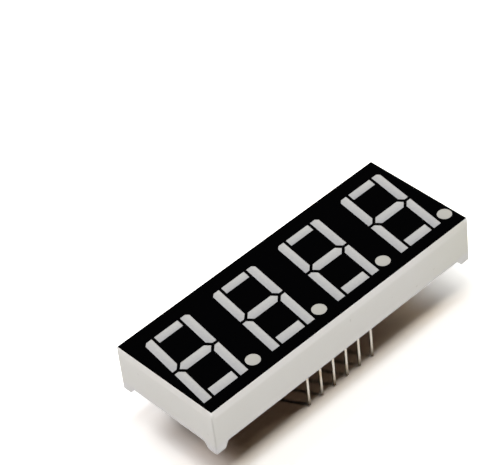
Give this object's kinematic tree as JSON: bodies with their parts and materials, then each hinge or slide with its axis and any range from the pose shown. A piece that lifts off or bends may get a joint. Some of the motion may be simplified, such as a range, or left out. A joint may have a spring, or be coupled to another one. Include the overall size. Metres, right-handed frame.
{
  "type": "seven segment display module",
  "caption": "Flat rectangular light-emitting display module with slanted segment digits on a black printed face, corner feet and rows of wire pins for soldering.",
  "frame": {"origin": "middle of the seating plane, where the corner feet meet a circuit board", "axes": "+X along the row of digits in reading order, +Y up the digits, +Z out of the lit face"},
  "size_m": [0.0502, 0.019, 0.0147],
  "materials": {
    "moulded_plastic": "moulded white plastic, satin",
    "printed_ink": "matt black print",
    "window_resin": "cast resin with a light diffuser, smooth",
    "clear_resin": "cast clear resin, glossy",
    "board_laminate": "glass-epoxy laminate",
    "masked_copper": "copper under a thin lacquer",
    "via_plating": "plated copper, dark",
    "die": "polished semiconductor",
    "bond_wire": "drawn gold wire",
    "solder": "bright solder",
    "tinned_wire": "tin plated wire"
  },
  "bodies": {
    "root": {"housing": "moulded_plastic", "face_mask": "printed_ink", "circuit_board": "board_laminate", "copper_tracks": "masked_copper", "plated_vias": "via_plating", "led_chips": "die", "bond_wires": "bond_wire", "solder_joints": "solder", "back_resin": "clear_resin", "pin_1": "tinned_wire", "pin_2": "tinned_wire", "pin_3": "tinned_wire", "pin_4": "tinned_wire", "pin_5": "tinned_wire", "pin_6": "tinned_wire", "pin_7": "tinned_wire", "pin_8": "tinned_wire", "pin_9": "tinned_wire", "pin_10": "tinned_wire", "pin_11": "tinned_wire", "pin_12": "tinned_wire", "digit_1_segment_a": "window_resin", "digit_1_segment_b": "window_resin", "digit_1_segment_c": "window_resin", "digit_1_segment_d": "window_resin", "digit_1_segment_e": "window_resin", "digit_1_segment_f": "window_resin", "digit_1_segment_g": "window_resin", "digit_2_segment_a": "window_resin", "digit_2_segment_b": "window_resin", "digit_2_segment_c": "window_resin", "digit_2_segment_d": "window_resin", "digit_2_segment_e": "window_resin", "digit_2_segment_f": "window_resin", "digit_2_segment_g": "window_resin", "digit_3_segment_a": "window_resin", "digit_3_segment_b": "window_resin", "digit_3_segment_c": "window_resin", "digit_3_segment_d": "window_resin", "digit_3_segment_e": "window_resin", "digit_3_segment_f": "window_resin", "digit_3_segment_g": "window_resin", "digit_4_segment_a": "window_resin", "digit_4_segment_b": "window_resin", "digit_4_segment_c": "window_resin", "digit_4_segment_d": "window_resin", "digit_4_segment_e": "window_resin", "digit_4_segment_f": "window_resin", "digit_4_segment_g": "window_resin", "digit_1_decimal_point": "window_resin", "digit_2_decimal_point": "window_resin", "digit_3_decimal_point": "window_resin", "digit_4_decimal_point": "window_resin"}
  },
  "joints": []
}
